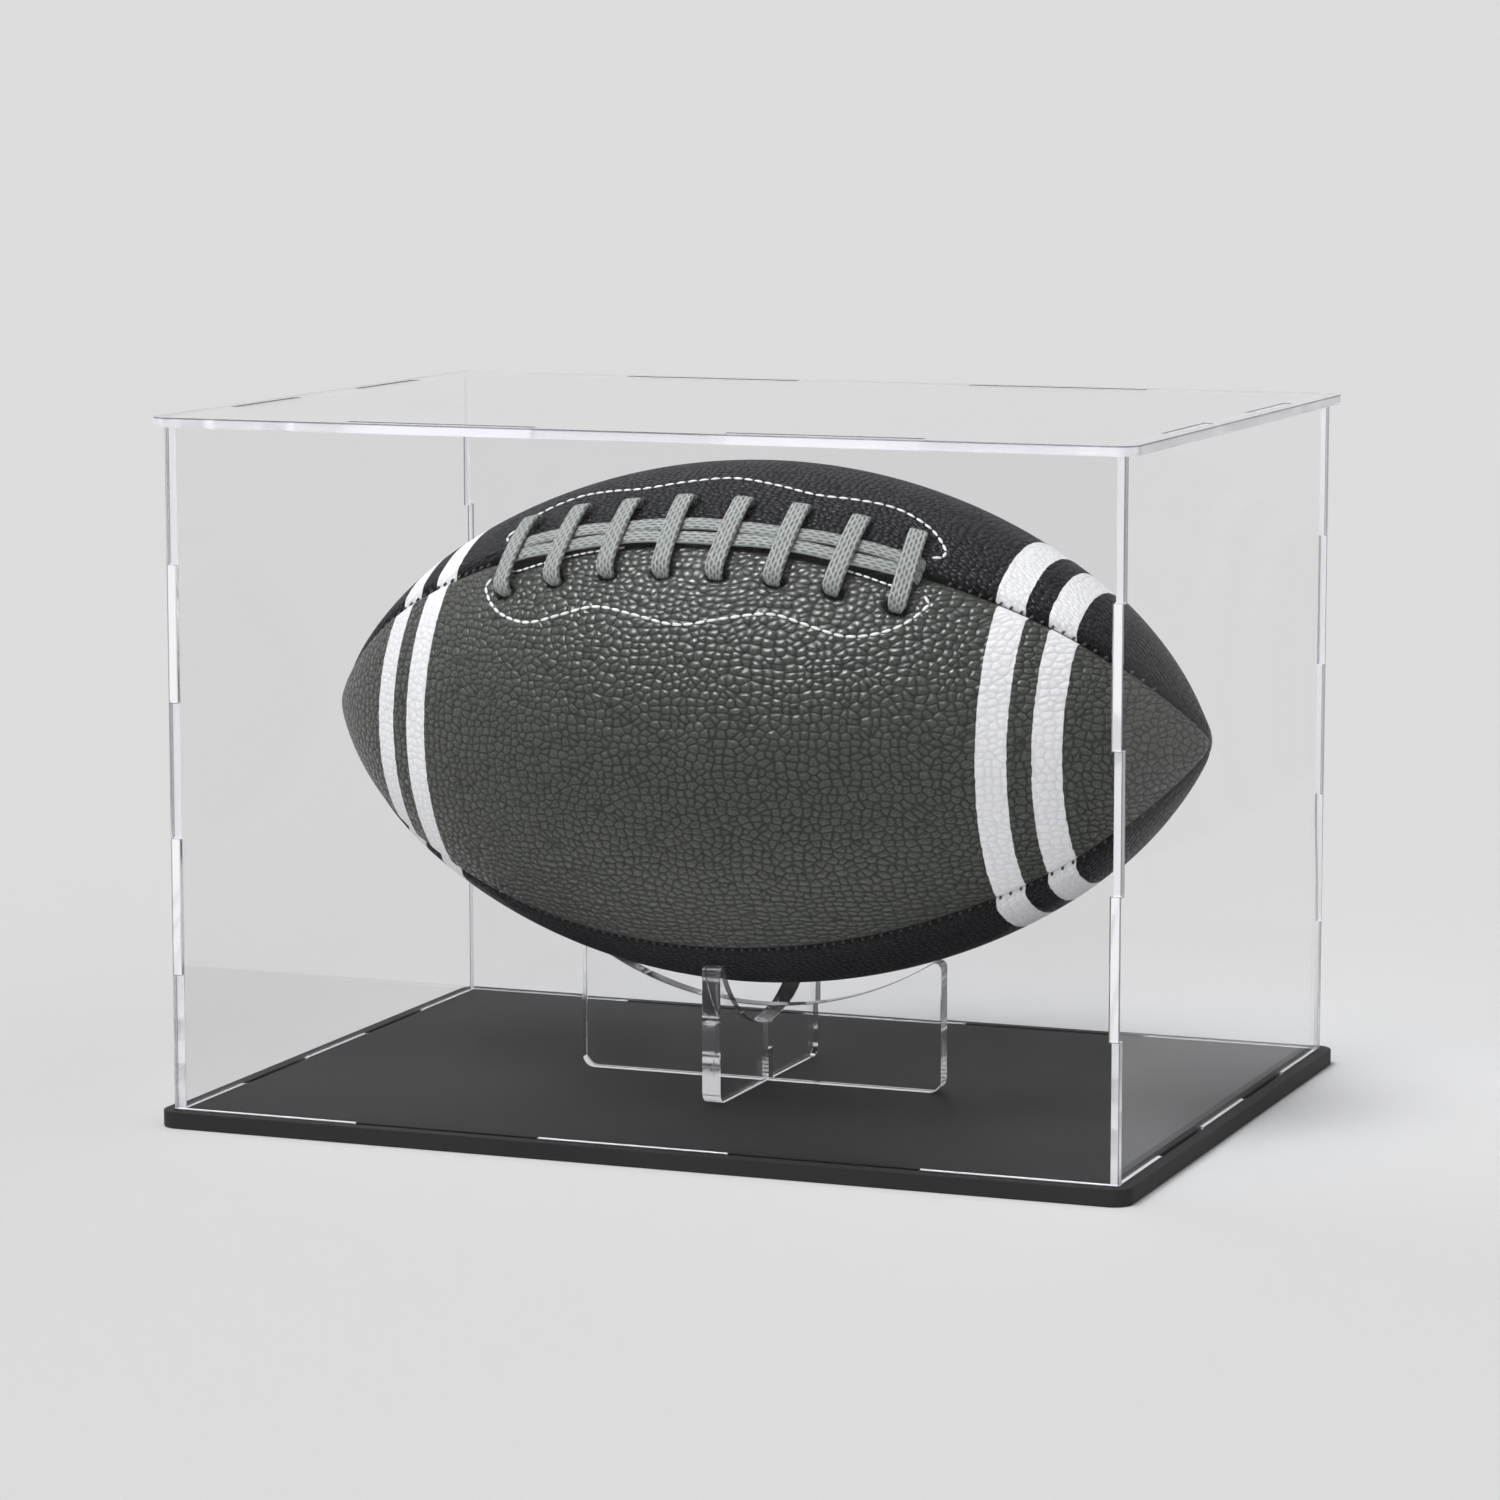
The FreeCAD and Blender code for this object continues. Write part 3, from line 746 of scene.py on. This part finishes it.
# %% [markdown]
# Lace strands
# Two lengths of the same tape lie side by side along the seam under the loops. Each is spun along
# the belly's arc, and its ends turn down into the slit. Between the loops the tape rises a little,
# because the loops hold it down.

# %% Lace strands
strand_w, strand_t, strand_half, strand_lift = 0.0047, 0.0013, 0.0645, 0.00095
dive, dive_turn = 0.0028, 1.2
swell_high, swell_low, strand_gap, stray = 0.0003, 0.0001, 0.0003, 0.0003


def strand(name, side, node):
    """One strand along the seam, above it or below it."""
    bm = bmesh.new()
    mapping = bm.loops.layers.uv.new("tape")
    ring = tape_ring(bm, strand_w, strand_t)
    turn_all(bm, pi / 2, "Z")
    turn = asin(strand_half / belly_r)
    hub = Vector((0, 0, -belly_drop))
    start = Matrix.Rotation(-turn, 3, "Y") @ Vector((0, 0, belly_r + strand_lift)) + hub
    knee = start + Matrix.Rotation(-turn, 3, "Y") @ Vector((0, 0, -dive))
    turn_all(bm, -turn - dive_turn, "Y")
    end = Matrix.Rotation(-turn - dive_turn, 3, "Y") @ Vector((0, 0, dive))
    bmesh.ops.translate(bm, verts=bm.verts, vec=knee + end)
    ring = swing(bm, ring, knee, (0, 1, 0), dive_turn, 8)
    ring = swing(bm, ring, hub, (0, 1, 0), 2 * turn, 110)
    swing(bm, ring, Vector((-knee.x, knee.y, knee.z)), (0, 1, 0), dive_turn, 8)
    bmesh.ops.holes_fill(bm, edges=bm.edges, sides=0)
    for face in bm.faces:
        for loop in face.loops:
            spot = loop.vert.co
            under = max(belly_r - hypot(spot.x, spot.z + belly_drop), 0)
            run = atan2(spot.x, spot.z + belly_drop) * belly_r
            loop[mapping].uv = (run + copysign(under, spot.x), spot.y)
    for vert in bm.verts:
        swell = abs(sin(pi * (vert.co.x - loop_pitch / 2) / loop_pitch))
        out = (vert.co - Vector((0, vert.co.y, -belly_drop))).normalized()
        if abs(vert.co.x) < strand_half:
            vert.co += out * (swell_high * swell - swell_low)
        vert.co.y += side * (strand_w / 2 + strand_gap) + stray * sin(vert.co.x * 140 + side * 2)
    turn_all(bm, pi / 2 - lace_seam, "X")
    bmesh.ops.translate(bm, verts=bm.verts, vec=ball_centre)
    bmesh.ops.recalc_face_normals(bm, faces=bm.faces)
    keep(name, bm, webbing, [node])


strand("upper_strand", 1, "lace_strand_upper")
strand("lower_strand", -1, "lace_strand_lower")

# %% [markdown]
# Thread
# White thread outlines the strips sewn behind the laces, and dark thread closes the four seams.
# Both are the same twisted yarn: a fine noise stands for its plies, in the colour and in the
# relief. One stitch is a small stretched sphere, and a row of them is laid along a line on the
# ball.

# %% Thread
def thread(name, low, high, **sockets):
    """Twisted sewing thread between two colours."""
    finish, tree, shader = new_finish(name, **sockets)
    ply = noise(tree, add(tree, "TexCoord").outputs["Object"], 2400.0, 2.0)
    tree.links.new(blend(tree, ply, low, high), shader.inputs["Base Color"])
    bump(tree, shader, ply, 0.5, 0.0001)
    return finish


def stitch(bm, start, stop, out, width, proud):
    """One stitch between two points."""
    along = stop - start
    length = along.length
    along.normalize()
    across = out.cross(along).normalized()
    out = along.cross(across)
    shape = Matrix((along * length / 2, across * width / 2, out * proud)).transposed().to_4x4()
    shape.translation = (start + stop) / 2
    bmesh.ops.create_uvsphere(bm, u_segments=8, v_segments=6, radius=1, matrix=shape)


def row(bm, course, pitch, gap, width, proud, lift):
    """A row of stitches along a course of (x, elevation) places."""
    points = [on_ball(x, e, lift) for x, e in course]
    spare = 0.0
    start = None
    for k in range(1, len(points)):
        step = (points[k] - points[k - 1]).length
        done = 0.0
        while spare + step - done >= pitch:
            done += pitch - spare
            spare = 0.0
            t = done / step
            spot = points[k - 1].lerp(points[k], t)
            x = course[k - 1][0] + (course[k][0] - course[k - 1][0]) * t
            e = course[k - 1][1] + (course[k][1] - course[k - 1][1]) * t
            if start is not None:
                inset = (spot - start) * (gap / pitch / 2)
                stitch(bm, start + inset, spot - inset, outward(x, e), width, proud)
            start = spot
        spare += step - done


white_thread = thread("white_thread", (0.70, 0.71, 0.71, 1), (0.88, 0.88, 0.87, 1),
                      Roughness=0.65, Sheen_Weight=0.2)
dark_thread = thread("dark_thread", (0.010, 0.010, 0.011, 1), (0.030, 0.030, 0.032, 1),
                     Roughness=0.7, Sheen_Weight=0.15)
print("two threads")

# %% [markdown]
# White stitching
# The strips behind the laces have a wavy outline. Its bends are read as a few points, in
# millimetres along the seam and away from it, and a smooth curve through them gives the course of
# the stitches. A shorter row follows each edge of the slit, where no strand covers it.

# %% White stitching
bends = [(-67, 7), (-71, 9), (-71, 12.5), (-64, 22), (-52, 28.5), (-40, 28), (-28, 26.5),
         (-14, 30), (0, 33)]
bends += [(-x, away) for x, away in bends[-2::-1]]
bends = [bends[0]] + bends + [bends[-1]]


def through(p, q, r, s, t):
    """A smooth curve through four numbers, between the second and the third."""
    return 0.5 * (2 * q + (r - p) * t + (2 * p - 5 * q + 4 * r - s) * t ** 2
                  + (3 * q - p - 3 * r + s) * t ** 3)


def away_from_seam(x_mm, away):
    """A place on the ball, from millimetres along the seam and metres away from it."""
    return x_mm / 1000, lace_seam + away / girth(x_mm / 1000)


def facing_course(side, short):
    """The wavy outline of one facing, from one end of the slit round to the other."""
    course = []
    for four in zip(bends, bends[1:], bends[2:], bends[3:]):
        for k in range(12):
            x, away = (through(*numbers, k / 12) for numbers in zip(*four))
            course.append(away_from_seam(x, side * short * away / 1000))
    return course


below, above = -1, 1
slit_rows = {below: ((-66, -22), (44, 66)), above: ((-40, -20), (46, 60))}
outline_gap = {below: 0.0003, above: 0.0004}
outline_short = {below: 1.0, above: 0.93}
outline = bmesh.new()
for side in (below, above):
    course = facing_course(side, outline_short[side])
    row(outline, course, 0.0036, outline_gap[side], width=0.0010, proud=0.0004, lift=0.0001)
    for start, stop in slit_rows[side]:
        course = []
        for x in range(start, stop + 1):
            edge = slit_edge(x / 1000) + 0.0010 if side == below else 0.0066
            course.append(away_from_seam(x, side * edge))
        row(outline, course, 0.0026, 0.0002, width=0.0008, proud=0.0003, lift=-0.0004)
keep("white_stitching", outline, white_thread)

# %% [markdown]
# Seam stitching
# The panels are sewn from inside, so only the short bridges of the thread show, deep in the groove.
# Each crosses the seam with a slight slant. Under the laces there are none.

# %% Seam stitching
seam_pitch, seam_count, laced_half = 0.0029, 45, 0.074
seam_reach, seam_slant, seam_sunk = 0.0008, 0.0003, -0.0012
seams = bmesh.new()
for elevation in (lace_seam, lace_seam - wide_panel, lace_seam - pi, lace_seam + narrow_panel):
    for k in range(-seam_count, seam_count + 1):
        x = k * seam_pitch
        if elevation == lace_seam and abs(x) < laced_half:
            continue
        half = seam_reach / girth(x)
        start = on_ball(x + seam_slant, elevation + half, seam_sunk)
        stop = on_ball(x - seam_slant, elevation - half, seam_sunk)
        stitch(seams, start, stop, outward(x, elevation), width=0.0009, proud=0.00045)
keep("seam_stitching", seams, dark_thread)

# %% [markdown]
# Inside the ball
# The lining, the strips behind the laces, the bladder and the valve keep their built shapes. They
# are hardly seen, but a dark cloth shows through the slit, so each still gets a finish with a weave
# or a skin of its own.

# %% Inside the ball
lining_cloth, tree, shader = new_finish("lining_cloth", Roughness=0.85, Sheen_Weight=0.2)
place = add(tree, "TexCoord").outputs["Object"]
warp, weft = (
    add(tree, "TexWave", {"Vector": place, "Scale": 320.0, "Distortion": 0.6},
        bands_direction=way).outputs["Fac"]
    for way in ("X", "Z"))
cloth = maths(tree, "MULTIPLY", warp, weft)
colour = blend(tree, cloth, (0.010, 0.010, 0.010, 1), (0.040, 0.040, 0.041, 1))
tree.links.new(colour, shader.inputs["Base Color"])
bump(tree, shader, cloth, 0.6, 0.0002)
linings = ["ball_%s_lining" % side for side in ("front", "bottom", "back", "top")]
dress(linings + ["lace_facing_upper", "lace_facing_lower"], lining_cloth)

rubber_skin, tree, shader = new_finish("rubber_skin", Roughness=0.5)
bloom = noise(tree, add(tree, "TexCoord").outputs["Object"], 60.0, 4.0)
colour = blend(tree, bloom, (0.012, 0.012, 0.012, 1), (0.030, 0.029, 0.028, 1))
tree.links.new(colour, shader.inputs["Base Color"])
tree.links.new(ramp(tree, bloom, 0.3, 0.7, 0.45, 0.62), shader.inputs["Roughness"])
dress(["ball_bladder", "ball_valve"], rubber_skin)

# %% [markdown]
# Valve
# In the middle of the back panel a small rubber valve lies almost level with the leather, with a
# rim round a shallow dish and a hole for the pump's needle. Its outline is a short chain of points,
# spun once round its own axis.

# %% Valve
valve_at = lace_seam - pi - wide_panel / 2
out = outward(0, valve_at)
across = out.cross(Vector((1, 0, 0)))
stand_up = Matrix((Vector((1, 0, 0)), across, out)).transposed().to_4x4()
stand_up.translation = on_ball(0, valve_at)
rim = [(0.0044, -0.0012), (0.0044, 0.0001), (0.0041, 0.0004), (0.0036, 0.0005), (0.0031, 0.0003),
       (0.0026, -0.0001), (0.0014, -0.0003), (0.0008, -0.0004), (0.0006, -0.0006),
       (0.0006, -0.0016)]
bm = bmesh.new()
chain = [bm.verts.new((r, 0, z)) for r, z in rim]
links = [bm.edges.new(pair) for pair in zip(chain, chain[1:])]
bmesh.ops.spin(bm, geom=chain + links, cent=(0, 0, 0), axis=(0, 0, 1), angle=2 * pi, steps=40,
               use_merge=True)
bmesh.ops.remove_doubles(bm, verts=bm.verts, dist=1e-6)
bmesh.ops.holes_fill(bm, edges=bm.edges, sides=0)
bmesh.ops.recalc_face_normals(bm, faces=bm.faces)
bmesh.ops.transform(bm, verts=bm.verts, matrix=stand_up)
keep("valve_lip", bm, rubber_skin)
